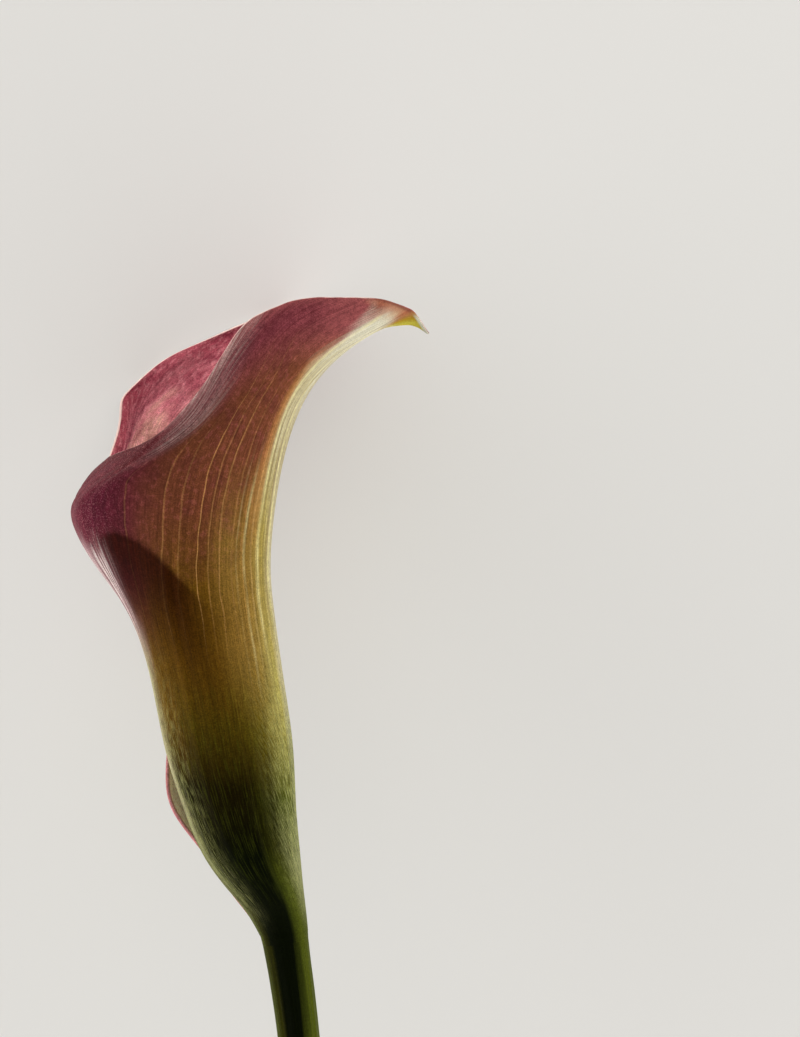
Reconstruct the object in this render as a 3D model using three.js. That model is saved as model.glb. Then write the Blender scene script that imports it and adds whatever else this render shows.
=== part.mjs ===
// A calla lily flower, cut and laid down: one wrapped bract (the spathe) round a
// finger-like spike (the spadix), on a cut stem. Millimetres, +Z up.
//
// The flower is drawn in its own frame first: the receptacle, where the bract starts, is
// the origin, +Y runs up the flower, +X is the side of the back rib and of the pointed
// tip, and +Z is the side that lies uppermost. It is then laid on the floor.
import * as THREE from "three";

// Driving dimensions.
const STEM_LENGTH = 150; // from the receptacle down to the cut
const STEM_TOP_RADIUS = 4.1; // where the bract starts
const STEM_RADIUS = 3.5; // a little lower down
const STEM_CUT_RADIUS = 3.9; // at the cut end
const STEM_LEAN = 13; // how far the cut end lies towards +X
const STEM_DROP = 24.4; // how far the cut end lies below the receptacle
const STEM_SHOULDER_FADE = 14; // how fast the stem's top narrows: e-folds over the stem's length
const NECK_RADIUS = 2.5; // the stem's top inside the bract
const NECK_TAPER = 0.88; // the neck's radius at its top, as a share of that at its foot
const NECK_HEIGHT = 1.5;
const SPADIX_LENGTH = 44;
const SPADIX_RADIUS = 2.9;
const SPADIX_FOOT_RADIUS = 2.2;
const SPADIX_SWELLS_TO = 0.45; // share of its length over which the spike swells
const SPADIX_TIP_FROM = 0.62; // share of its length where its tip starts
const SPADIX_TIP_TO = 1.005; // where the tip's curve would close, just past the spike's end
const SPADIX_TIP_POWER = 0.8; // under 1, the tip is blunter than an ellipse
const SPATHE_THICKNESS_BASE = 1.1;
const SPATHE_THICKNESS_RIM = 0.75;
const SPATHE_MARGIN_THINNING = 0.4; // share of the thickness that the side margins lose
const SPATHE_THINNING_FROM = 0.75; // how far across the leaf that thinning starts
const SEAT_GAP = 0.35; // between pieces that sit on each other

// How the flower lies: small turns about +X and +Y that bring three points to the floor.
const REST_TURN_X = -0.13; // degrees
const REST_TURN_Y = 1.13; // degrees

// Mesh steps.
const SPATHE_STEPS_ACROSS = 52;
const SPATHE_STEPS_ALONG = 32;
const STEM_STEPS_ALONG = 30;
const STEM_SIDES = 20;
const SPADIX_STEPS_ALONG = 22;
const SPADIX_SIDES = 18;
const SPATHE_STEP_CROWDING = 1.2; // over 1, the steps are closer together near the foot
const STEM_STEP_CROWDING = 1.3;

// ---------------------------------------------------------------- helpers

function smooth(t) {
  const c = THREE.MathUtils.clamp(t, 0, 1);
  return c * c * (3 - 2 * c);
}

// A natural cubic spline through points (arrays of equal length) at rising knots.
function naturalSpline(knots, points) {
  const last = knots.length - 1;
  const width = points[0].length;
  const curve = points.map(() => new Array(width).fill(0));
  for (let k = 0; k < width; k++) {
    const slope = new Array(last + 1).fill(0);
    const load = new Array(last + 1).fill(0);
    for (let i = 1; i < last; i++) {
      const before = knots[i] - knots[i - 1];
      const after = knots[i + 1] - knots[i];
      const bend = (points[i + 1][k] - points[i][k]) / after - (points[i][k] - points[i - 1][k]) / before;
      const pivot = 2 * (before + after) - before * slope[i - 1];
      slope[i] = after / pivot;
      load[i] = (6 * bend - before * load[i - 1]) / pivot;
    }
    for (let i = last - 1; i > 0; i--) {
      curve[i][k] = load[i] - slope[i] * curve[i + 1][k];
    }
  }
  return (t) => {
    let i = 0;
    while (i < last - 1 && t > knots[i + 1]) i++;
    const h = knots[i + 1] - knots[i];
    const q = (t - knots[i]) / h;
    const p = 1 - q;
    return points[i].map((start, k) => {
      const chord = p * start + q * points[i + 1][k];
      return chord + ((p ** 3 - p) * curve[i][k] + (q ** 3 - q) * curve[i + 1][k]) * h * h / 6;
    });
  };
}

function bodyFrom(points, triangles) {
  const geometry = new THREE.BufferGeometry();
  geometry.setAttribute("position", new THREE.Float32BufferAttribute(points.flatMap((p) => p.toArray()), 3));
  geometry.setIndex(triangles.flat());
  return geometry;
}

// A closed body from equal rings of points, with a fan over each end.
function loft(rings, sides) {
  const points = rings.flat();
  const triangles = [];
  for (let i = 0; i + 1 < rings.length; i++) {
    for (let j = 0; j < sides; j++) {
      const a = i * sides + j;
      const b = i * sides + (j + 1) % sides;
      triangles.push([a, b, b + sides], [a, b + sides, a + sides]);
    }
  }
  const addCap = (ring, start, reverse) => {
    const middle = ring.reduce((sum, p) => sum.add(p), new THREE.Vector3()).divideScalar(sides);
    const hub = points.push(middle) - 1;
    for (let j = 0; j < sides; j++) {
      const a = start + j;
      const b = start + (j + 1) % sides;
      triangles.push(reverse ? [hub, b, a] : [hub, a, b]);
    }
  };
  addCap(rings[0], 0, true);
  addCap(rings[rings.length - 1], (rings.length - 1) * sides, false);
  return bodyFrom(points, triangles);
}

// A ring of a round section, square to a path's direction.
function roundRing(centre, direction, radius, sides) {
  const right = new THREE.Vector3(0, 0, 1).cross(direction).normalize();
  const up = direction.clone().cross(right);
  return Array.from({ length: sides }, (_, j) => {
    const angle = 2 * Math.PI * j / sides;
    return centre.clone()
      .addScaledVector(right, radius * Math.cos(angle))
      .addScaledVector(up, radius * Math.sin(angle));
  });
}

// ---------------------------------------------------------------- spathe

// The bract is one leaf. A point of it is told by two numbers: "across" runs from -1, the
// outer margin, over 0, the back rib, to 1, the inner margin, and "along" runs from 0 at
// the receptacle to 1 at the rim. All the points below lie on the leaf's outer face.

// The tube: nearly round sections that the leaf wraps with its margins overlapping. A row holds
// along, the section's left and right ends as seen from above, its near and far depths, how
// many degrees round the inner and the outer margin reach, and how far the inner margin tucks
// in and the outer one stands off.
const TUBE = [
  [0, [-4.1, -2.1], [4.2, -0.8], 4.1, 4.1, 183, 173, 0, 0],
  [0.03, [-6.2, 1.6], [3.85, 2.7], 5.1, 5.1, 184, 174, 0.3, 0.2],
  [0.05, [-8, 4], [3.55, 5.1], 6.2, 6.2, 188, 171, 0.8, 0.4],
  [0.075, [-10.5, 7], [3.2, 8.2], 7.5, 7.6, 197, 164, 1.1, 0.5],
  [0.12, [-14.3, 12.5], [2.7, 13.3], 9.2, 9.4, 207, 160, 1.3, 0.9],
  [0.18, [-17.4, 20], [2.1, 20], 10.4, 10.6, 214, 173, 1.3, 2.4],
  [0.235, [-19.6, 26.5], [1.8, 26.5], 11.1, 11.3, 218, 166, 1.3, 1.7],
  [0.3, [-21.4, 33.5], [1.3, 33.3], 11.6, 11.8, 220, 152, 1.3, 0.8],
  [0.38, [-23.1, 42], [0, 42.2], 12.1, 12.3, 220, 148, 1.3, 0.6],
].map(([along, left, right, near, far, inner, outer, tuck, lift]) => (
  { along, left, right, near, far, inner, outer, tuck, lift }
));

// The flare above the tube: points [across, x, y, z], from the outer margin to the inner.
const FLARE = [
  { // where the tube starts to open
    along: 0.48,
    points: [
      [-1, -26.6, 53.9, -7.2], [-0.9, -25.8, 53.9, -9.2], [-0.75, -23.3, 53.8, -11.6],
      [-0.5, -14.7, 54.1, -13.6], [-0.25, -5.6, 54.2, -9.4], [0, -1.8, 55, 1.5],
      [0.2, -5.1, 54.7, 9.8], [0.4, -13.4, 54.7, 13.2], [0.6, -22.4, 54.3, 9.4],
      [0.8, -26.8, 53.5, -0.5], [0.9, -25.6, 53.7, -5.3], [1, -22.6, 54, -7.9],
    ],
  },
  { // the throat
    along: 0.58,
    points: [
      [-1, -29.9, 63.8, -10], [-0.75, -26, 65.9, -15.5], [-0.5, -15.5, 66.9, -16], [-0.25, -6.5, 65.9, -10.5],
      [0, -2.3, 66, 2], [0.2, -5.7, 66.6, 11], [0.4, -13.9, 67.1, 15.6], [0.6, -24, 66, 13.3],
      [0.8, -32.9, 63.2, 3], [1, -27.2, 63.8, -7.6],
    ],
  },
  { // the widest part of the inner margin's lobe
    along: 0.68,
    points: [
      [-1, -31.4, 72.3, -14], [-0.75, -26.6, 80.6, -21], [-0.5, -13.2, 83.5, -20], [-0.25, -3.2, 81.6, -12.5],
      [0, -0.1, 81.7, 2.5], [0.2, -3.1, 81.7, 12.5], [0.4, -11, 81.3, 18.8], [0.6, -23.4, 77, 18.6],
      [0.7, -31.4, 73.6, 13.6], [0.8, -36.4, 71, 5.5], [1, -31.4, 70.2, -7.8],
    ],
  },
  { // where the rim starts to lean over towards the tip
    along: 0.8,
    points: [
      [-1, -32, 76.8, -17.2], [-0.88, -29.4, 82, -22.3], [-0.75, -26.8, 88.5, -26.3], [-0.5, -12, 97, -25],
      [-0.25, 2.6, 97.3, -16], [0, 7.2, 97, 2], [0.2, 3.4, 97, 11.5], [0.4, -5.4, 94, 18.9],
      [0.5, -12.6, 87.6, 20.4], [0.6, -20.6, 82.4, 19.9], [0.7, -28.6, 79, 14.6],
      [0.8, -35.1, 76, 6.3], [1, -32.7, 73.2, -8.5],
    ],
  },
  { // a few millimetres inside the rim, where the inner margin starts to roll in
    along: 0.9,
    points: [
      [-1, -32.1, 78.9, -18.8], [-0.9, -29.6, 85.3, -24.2], [-0.83, -28.9, 90.3, -26.7],
      [-0.75, -26.8, 93.4, -28], [-0.65, -22.6, 97.1, -27.8], [-0.5, -13.3, 101.7, -26.8],
      [-0.35, -2, 104.6, -24], [-0.2, 10.6, 106.2, -11.5], [-0.1, 16.4, 105.4, -5],
      [0, 17.7, 104.4, 1], [0.1, 16.5, 105, 4.5], [0.2, 10.8, 105.9, 10],
      [0.3, 3.2, 105.8, 15.2], [0.4, -3.9, 102.2, 19.2], [0.45, -8.2, 98, 20.5], [0.52, -13.8, 90.4, 20.9],
      [0.6, -20.2, 85, 19.6], [0.7, -27.6, 81.3, 13.5], [0.8, -33.2, 79, 6], [1, -32.9, 74.4, -9],
    ],
  },
  { // the rim
    along: 1,
    points: [
      [-1, -32.5, 81.1, -20], [-0.94, -31.4, 85.1, -22.7], [-0.88, -30.7, 89.3, -25],
      [-0.83, -30.6, 92.1, -26.2], [-0.8, -30.1, 93.3, -27], [-0.75, -28.2, 95.4, -28],
      [-0.65, -22.5, 99.9, -28.2], [-0.55, -15.9, 103.1, -27.2], [-0.45, -8.7, 106.4, -27.2],
      [-0.35, 0.5, 109, -27.5], [-0.25, 9.6, 110, -20.5], [-0.15, 16.9, 109.6, -11],
      [-0.07, 21.9, 107.8, -4.2], [-0.03, 23.7, 106, -1], [0, 25.3, 103.3, 0], [0.03, 23.7, 106, 1],
      [0.07, 21.9, 107.6, 2.5], [0.15, 17.5, 109.2, 5.5], [0.25, 9.9, 109.4, 10],
      [0.33, 2.8, 108.8, 14.2], [0.4, -3.3, 106.4, 16.9], [0.45, -7.3, 103.2, 18.6],
      [0.5, -12.4, 95.2, 19.8], [0.55, -16.6, 89.8, 19.9], [0.6, -20, 86.4, 18.6],
      [0.66, -23.8, 84.1, 15.5], [0.72, -27.6, 82.8, 11.5], [0.8, -30.6, 81.6, 5],
      [0.9, -33.1, 78.6, -2], [1, -33.1, 75.5, -9.3],
    ],
  },
];

const TUCK_FROM = 172; // degrees round the tube where the inner margin starts to tuck in
const TUCK_TO = 200;
const LIFT_FROM = 0.72; // how far across the outer margin starts to stand off

function tubePoint(section, across) {
  const degrees = across >= 0 ? across * section.inner : across * section.outer;
  const angle = THREE.MathUtils.degToRad(degrees);
  const depth = degrees >= 0 ? section.near : section.far;
  const tuckTo = Math.min(section.inner, TUCK_TO);
  const offset = across > 0
    ? -section.tuck * smooth((degrees - TUCK_FROM) / (tuckTo - TUCK_FROM))
    : section.lift * smooth((-across - LIFT_FROM) / (1 - LIFT_FROM));
  const middle = section.left.map((left, k) => (left + section.right[k]) / 2);
  const reach = section.right.map((right, k) => (right - section.left[k]) / 2);
  return [
    middle[0] + (reach[0] + offset) * Math.cos(angle),
    middle[1] + reach[1] * Math.cos(angle),
    (depth + offset) * Math.sin(angle),
  ];
}

// The grid's steps: even across, and closer together near the foot.
function acrossAt(i) {
  return 2 * i / SPATHE_STEPS_ACROSS - 1;
}

function alongAt(j) {
  return (j / SPATHE_STEPS_ALONG) ** SPATHE_STEP_CROWDING;
}

function spatheThickness(across, along) {
  const rib = THREE.MathUtils.lerp(SPATHE_THICKNESS_BASE, SPATHE_THICKNESS_RIM, along);
  const marginShare = smooth((Math.abs(across) - SPATHE_THINNING_FROM) / (1 - SPATHE_THINNING_FROM));
  return rib * (1 - SPATHE_MARGIN_THINNING * marginShare);
}

function spatheGrid() {
  const flareCurves = FLARE.map(({ points }) => {
    return naturalSpline(points.map((point) => point[0]), points.map((point) => point.slice(1)));
  });
  const levels = [...TUBE, ...FLARE].map((section) => section.along);
  return Array.from({ length: SPATHE_STEPS_ACROSS + 1 }, (_, i) => {
    const across = acrossAt(i);
    const column = [
      ...TUBE.map((section) => tubePoint(section, across)),
      ...flareCurves.map((curve) => curve(across)),
    ];
    const line = naturalSpline(levels, column);
    return Array.from({ length: SPATHE_STEPS_ALONG + 1 }, (_, j) => new THREE.Vector3(...line(alongAt(j))));
  });
}

// The outer face's normals, pointing out of the flower, evened out over their neighbours.
function gridNormals(grid) {
  const at = (table, i, j) => {
    const column = table[THREE.MathUtils.clamp(i, 0, table.length - 1)];
    return column[THREE.MathUtils.clamp(j, 0, column.length - 1)];
  };
  const raw = grid.map((column, i) => column.map((_, j) => {
    const across = at(grid, i + 1, j).clone().sub(at(grid, i - 1, j));
    const along = at(grid, i, j + 1).clone().sub(at(grid, i, j - 1));
    return along.cross(across).normalize();
  }));
  return raw.map((column, i) => column.map((normal, j) => {
    const sum = normal.clone().multiplyScalar(2);
    sum.add(at(raw, i - 1, j)).add(at(raw, i + 1, j)).add(at(raw, i, j - 1)).add(at(raw, i, j + 1));
    return sum.normalize();
  }));
}

function spatheGeometry() {
  const outer = spatheGrid();
  const normals = gridNormals(outer);
  const inner = outer.map((column, i) => column.map((point, j) => {
    return point.clone().addScaledVector(normals[i][j], -spatheThickness(acrossAt(i), alongAt(j)));
  }));
  const columns = SPATHE_STEPS_ACROSS + 1;
  const rows = SPATHE_STEPS_ALONG + 1;
  const points = [...outer.flat(), ...inner.flat()];
  const out = (i, j) => i * rows + j;
  const into = (i, j) => columns * rows + i * rows + j;
  const triangles = [];
  // Each quad is split along its shorter diagonal.
  const addQuad = (a, b, c, d) => {
    const shortAC = points[a].distanceTo(points[c]) <= points[b].distanceTo(points[d]);
    triangles.push(...(shortAC ? [[a, b, c], [a, c, d]] : [[a, b, d], [b, c, d]]));
  };
  for (let i = 0; i + 1 < columns; i++) {
    for (let j = 0; j + 1 < rows; j++) {
      addQuad(out(i, j), out(i, j + 1), out(i + 1, j + 1), out(i + 1, j));
      addQuad(into(i, j), into(i + 1, j), into(i + 1, j + 1), into(i, j + 1));
    }
    addQuad(out(i, 0), out(i + 1, 0), into(i + 1, 0), into(i, 0));
    addQuad(out(i, rows - 1), into(i, rows - 1), into(i + 1, rows - 1), out(i + 1, rows - 1));
  }
  for (let j = 0; j + 1 < rows; j++) {
    addQuad(out(0, j), into(0, j), into(0, j + 1), out(0, j + 1));
    addQuad(out(columns - 1, j), out(columns - 1, j + 1), into(columns - 1, j + 1), into(columns - 1, j));
  }
  return bodyFrom(points, triangles);
}

// ---------------------------------------------------------------- stem

// The stem runs from the receptacle down to the cut, and sinks to the floor on the way.
const STEM_SHOULDER = new THREE.Vector3(0.1, -1.45 - SEAT_GAP, 0);
const STEM_LINE = new THREE.CatmullRomCurve3([
  STEM_SHOULDER,
  new THREE.Vector3(1.5, -11, -0.1),
  new THREE.Vector3(2.6, -20, -0.6),
  new THREE.Vector3(6.2, -0.4 * STEM_LENGTH, -0.27 * STEM_DROP),
  new THREE.Vector3(0.78 * STEM_LEAN, -0.72 * STEM_LENGTH, -0.64 * STEM_DROP),
  new THREE.Vector3(STEM_LEAN, -STEM_LENGTH, -STEM_DROP),
]);

function stemRadius(fraction) {
  const shoulder = (STEM_TOP_RADIUS - STEM_RADIUS) * Math.exp(-fraction * STEM_SHOULDER_FADE);
  return STEM_RADIUS + shoulder + (STEM_CUT_RADIUS - STEM_RADIUS) * smooth(fraction);
}

function stemGeometry() {
  const rings = [];
  for (let i = STEM_STEPS_ALONG; i >= 0; i--) {
    const fraction = (i / STEM_STEPS_ALONG) ** STEM_STEP_CROWDING;
    const centre = STEM_LINE.getPointAt(fraction);
    const upwards = STEM_LINE.getTangentAt(fraction).negate();
    rings.push(roundRing(centre, upwards, stemRadius(fraction), STEM_SIDES));
  }
  const upwards = STEM_LINE.getTangentAt(0).negate();
  const neckTop = STEM_SHOULDER.clone().addScaledVector(upwards, NECK_HEIGHT + 2 * SEAT_GAP);
  rings.push(roundRing(STEM_SHOULDER, upwards, NECK_RADIUS, STEM_SIDES));
  rings.push(roundRing(neckTop, upwards, NECK_RADIUS * NECK_TAPER, STEM_SIDES));
  return loft(rings, STEM_SIDES);
}

// ---------------------------------------------------------------- spadix

// The spike follows the middle of the tube and ends in a round tip.
const SPADIX_LINE = new THREE.CatmullRomCurve3([
  new THREE.Vector3(-0.3, 0.9 + SEAT_GAP, 0),
  new THREE.Vector3(-3.7, 9.5, 0.1),
  new THREE.Vector3(-7.1, 19.5, 0.3),
  new THREE.Vector3(-9.6, 31, 0.3),
  new THREE.Vector3(-11.6, SPADIX_LENGTH, 0),
]);

function spadixRadius(fraction) {
  if (fraction < SPADIX_TIP_FROM) {
    return THREE.MathUtils.lerp(SPADIX_FOOT_RADIUS, SPADIX_RADIUS, smooth(fraction / SPADIX_SWELLS_TO));
  }
  const past = (fraction - SPADIX_TIP_FROM) / (SPADIX_TIP_TO - SPADIX_TIP_FROM);
  return SPADIX_RADIUS * Math.sqrt(1 - past ** 2) ** SPADIX_TIP_POWER;
}

function spadixGeometry() {
  const rings = Array.from({ length: SPADIX_STEPS_ALONG + 1 }, (_, i) => {
    const fraction = Math.sin(0.5 * Math.PI * i / SPADIX_STEPS_ALONG);
    const centre = SPADIX_LINE.getPointAt(fraction);
    return roundRing(centre, SPADIX_LINE.getTangentAt(fraction), spadixRadius(fraction), SPADIX_SIDES);
  });
  return loft(rings, SPADIX_SIDES);
}

// ---------------------------------------------------------------- the flower

function leaf(colour, roughness) {
  return new THREE.MeshStandardMaterial({ color: colour, roughness, metalness: 0 });
}

function named(name, geometry, material) {
  const mesh = new THREE.Mesh(geometry, material);
  mesh.name = name;
  return mesh;
}

const flower = new THREE.Group();
flower.add(named("spathe", spatheGeometry(), leaf(0x7a4636, 0.55)));
flower.add(named("spadix", spadixGeometry(), leaf(0xd9b23a, 0.8)));
flower.add(named("stem", stemGeometry(), leaf(0x2f3d14, 0.5)));

// The flower is turned to its rest, then moved so that its box stands on the origin.
flower.rotation.set(THREE.MathUtils.degToRad(REST_TURN_X), THREE.MathUtils.degToRad(REST_TURN_Y), 0);
const lying = new THREE.Group();
lying.add(flower);
lying.updateMatrixWorld(true);
const box = new THREE.Box3().setFromObject(lying, true);
const middle = box.getCenter(new THREE.Vector3());
flower.position.set(-middle.x, -middle.y, -box.min.z);

export default lying;
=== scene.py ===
import math

import bpy
import numpy as np
from mathutils import Matrix, Vector


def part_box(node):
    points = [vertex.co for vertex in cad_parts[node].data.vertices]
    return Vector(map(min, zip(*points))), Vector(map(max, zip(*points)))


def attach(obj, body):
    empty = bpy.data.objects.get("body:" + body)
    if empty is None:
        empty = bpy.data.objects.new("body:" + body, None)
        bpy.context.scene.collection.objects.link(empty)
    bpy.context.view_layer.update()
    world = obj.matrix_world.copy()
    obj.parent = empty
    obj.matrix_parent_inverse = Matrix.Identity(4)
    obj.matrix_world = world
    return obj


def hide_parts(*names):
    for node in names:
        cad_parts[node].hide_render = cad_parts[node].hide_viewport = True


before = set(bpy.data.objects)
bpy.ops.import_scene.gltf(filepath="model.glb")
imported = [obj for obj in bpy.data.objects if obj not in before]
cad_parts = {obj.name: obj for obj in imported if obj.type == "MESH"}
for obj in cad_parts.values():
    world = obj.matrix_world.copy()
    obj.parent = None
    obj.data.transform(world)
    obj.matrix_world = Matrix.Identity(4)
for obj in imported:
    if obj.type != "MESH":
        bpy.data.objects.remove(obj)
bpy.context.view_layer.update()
scene = bpy.context.scene

MM = 0.001

# Driving dimensions in millimetres, degrees and plain numbers, as in the CAD source.
STEM_LENGTH = 150
STEM_TOP_RADIUS = 4.1
STEM_RADIUS = 3.5
STEM_CUT_RADIUS = 3.9
STEM_LEAN = 13
STEM_DROP = 24.4
STEM_SHOULDER_FADE = 14
NECK_RADIUS = 2.5
NECK_TAPER = 0.88
NECK_HEIGHT = 1.5
SPADIX_LENGTH = 44
SPADIX_RADIUS = 2.9
SPADIX_FOOT_RADIUS = 2.2
SPADIX_SWELLS_TO = 0.45
SPADIX_TIP_FROM = 0.62
SPADIX_TIP_TO = 1.005
SPADIX_TIP_POWER = 0.8
SPATHE_THICKNESS_BASE = 1.1
SPATHE_THICKNESS_RIM = 0.75
SPATHE_MARGIN_THINNING = 0.4
SPATHE_THINNING_FROM = 0.75
SEAT_GAP = 0.35
REST_TURN_X = -0.13
REST_TURN_Y = 1.13

# The photograph's view, straight down: the point of the flower's own frame under the picture's
# middle, and how much of the flower's plane the picture's height spans.
CAMERA_DISTANCE = 700
PICTURE_MIDDLE = (20.3, 71.1)
PICTURE_HEIGHT = 181.475
SENSOR_SIZE = 36


# ---- curves and grids


def rise(value, low, high):
    """0 below low, 1 above high, smooth between."""
    share = np.clip((value - low) / (high - low), 0, 1)
    return share * share * (3 - 2 * share)


def natural_spline(knots, values, places):
    """A natural cubic spline through values, one row for each knot, read at places."""
    knots = np.array(knots, float)
    values = np.array(values, float)
    flat = values.reshape(len(knots), -1)
    gaps = np.diff(knots)
    slopes = np.diff(flat, axis=0) / gaps[:, None]
    system = np.eye(len(knots))
    load = np.zeros_like(flat)
    for i in range(1, len(knots) - 1):
        system[i, i - 1 : i + 2] = gaps[i - 1], 2 * (gaps[i - 1] + gaps[i]), gaps[i]
        load[i] = 6 * (slopes[i] - slopes[i - 1])
    bend = np.linalg.solve(system, load)
    i = np.clip(np.searchsorted(knots, places, side="right") - 1, 0, len(knots) - 2)
    gap = gaps[i][:, None]
    q = (places - knots[i])[:, None] / gap
    p = 1 - q
    chord = p * flat[i] + q * flat[i + 1]
    bow = ((p**3 - p) * bend[i] + (q**3 - q) * bend[i + 1]) * gap**2 / 6
    return (chord + bow).reshape(len(places), *values.shape[1:])


def centripetal_line(points, samples_per_span=80):
    """A centripetal Catmull-Rom curve through points, as a dense row of points."""
    points = np.array(points, float)
    ends = [2 * points[0] - points[1], 2 * points[-1] - points[-2]]
    points = np.vstack([ends[:1], points, ends[1:]])
    line = []
    for p0, p1, p2, p3 in zip(points, points[1:], points[2:], points[3:]):
        d0, d1, d2 = (math.sqrt(np.linalg.norm(b - a)) for a, b in ((p0, p1), (p1, p2), (p2, p3)))
        start = ((p1 - p0) / d0 - (p2 - p0) / (d0 + d1) + (p2 - p1) / d1) * d1
        end = ((p2 - p1) / d1 - (p3 - p1) / (d1 + d2) + (p3 - p2) / d2) * d1
        t = np.linspace(0, 1, samples_per_span, endpoint=False)[:, None]
        cubic = 2 * p1 - 2 * p2 + start + end
        square = 3 * p2 - 3 * p1 - 2 * start - end
        line.append(p1 + start * t + square * t**2 + cubic * t**3)
    return np.vstack([*line, points[-2:-1]])


def along_line(line, fractions):
    """Points and unit directions at these fractions of a line's length."""
    lengths = np.concatenate([[0], np.cumsum(np.linalg.norm(np.diff(line, axis=0), axis=1))])
    lengths /= lengths[-1]

    def read(rows):
        return np.stack([np.interp(fractions, lengths, column) for column in rows.T], 1)

    centres, headings = read(line), read(np.gradient(line, axis=0))
    return centres, headings / np.linalg.norm(headings, axis=1, keepdims=True)


def steps(start, stretches):
    """Places from start on: each stretch is (where it ends, about how long its steps are)."""
    places = [np.array([start])]
    for end, step in stretches:
        count = max(round((end - start) / step), 1)
        places.append(np.linspace(start, end, count + 1)[1:])
        start = end
    return np.concatenate(places)


def ring_faces(rows, columns):
    """Quads between the neighbours of a grid of points whose rows are closed rings."""
    r, c = np.meshgrid(np.arange(rows - 1), np.arange(columns), indexing="ij")
    after = (c + 1) % columns
    quads = [r * columns + c, r * columns + after, (r + 1) * columns + after, (r + 1) * columns + c]
    return np.stack(quads, -1).reshape(-1, 4)


TURN_X = Matrix.Rotation(math.radians(REST_TURN_X), 3, "X")
TURN_Y = Matrix.Rotation(math.radians(REST_TURN_Y), 3, "Y")
REST_TURN = TURN_X @ TURN_Y


def turned(points):
    return points @ np.array(REST_TURN).T


# ---- the spathe's shape

# The spathe is one leaf. A point of it is told by two numbers: "across" runs from -1, the outer
# margin, over 0, the back rib, to 1, the inner margin, and "along" runs from 0 at the receptacle
# to 1 at the rim. The points below lie on its outer face, and repeat the CAD source.

# The tube's sections: along, left end, right end, near and far depth, degrees round to the inner
# and to the outer margin, how far the inner margin tucks in and the outer one stands off.
TUBE = [
    (0, (-4.1, -2.1), (4.2, -0.8), 4.1, 4.1, 183, 173, 0, 0),
    (0.03, (-6.2, 1.6), (3.85, 2.7), 5.1, 5.1, 184, 174, 0.3, 0.2),
    (0.05, (-8, 4), (3.55, 5.1), 6.2, 6.2, 188, 171, 0.8, 0.4),
    (0.075, (-10.5, 7), (3.2, 8.2), 7.5, 7.6, 197, 164, 1.1, 0.5),
    (0.12, (-14.3, 12.5), (2.7, 13.3), 9.2, 9.4, 207, 160, 1.3, 0.9),
    (0.18, (-17.4, 20), (2.1, 20), 10.4, 10.6, 214, 173, 1.3, 2.4),
    (0.235, (-19.6, 26.5), (1.8, 26.5), 11.1, 11.3, 218, 166, 1.3, 1.7),
    (0.3, (-21.4, 33.5), (1.3, 33.3), 11.6, 11.8, 220, 152, 1.3, 0.8),
    (0.38, (-23.1, 42), (0, 42.2), 12.1, 12.3, 220, 148, 1.3, 0.6),
]

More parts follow.
